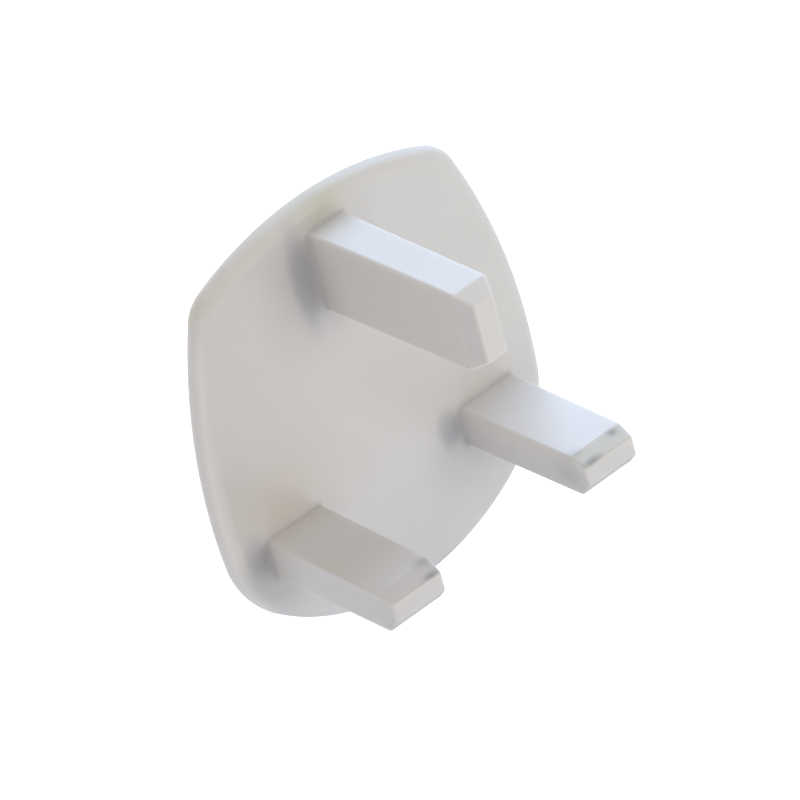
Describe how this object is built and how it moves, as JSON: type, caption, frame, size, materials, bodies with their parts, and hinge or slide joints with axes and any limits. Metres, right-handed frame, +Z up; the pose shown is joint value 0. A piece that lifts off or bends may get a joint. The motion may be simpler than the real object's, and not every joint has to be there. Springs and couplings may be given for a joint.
{
  "type": "outlet safety cover",
  "caption": "Shield-shaped blanking plate with a rounded rim and plug pins that fill a wall socket's slots, moulded in one piece of milky plastic.",
  "frame": {"origin": "on the plate's pin side, at the centre of the pin pattern: midway between the flat pins, and midway in height between them and the earth pin", "axes": "as fitted in a wall: +Z up, towards the earth pin; +Y along the pins, into the socket; the plain room side faces -Y"},
  "size_m": [0.0358, 0.0225, 0.0403],
  "materials": {
    "milky_plastic": "milky, slightly translucent moulded plastic with a satin gloss"
  },
  "bodies": {
    "root": {"outlet_cover": "milky_plastic"}
  },
  "joints": []
}
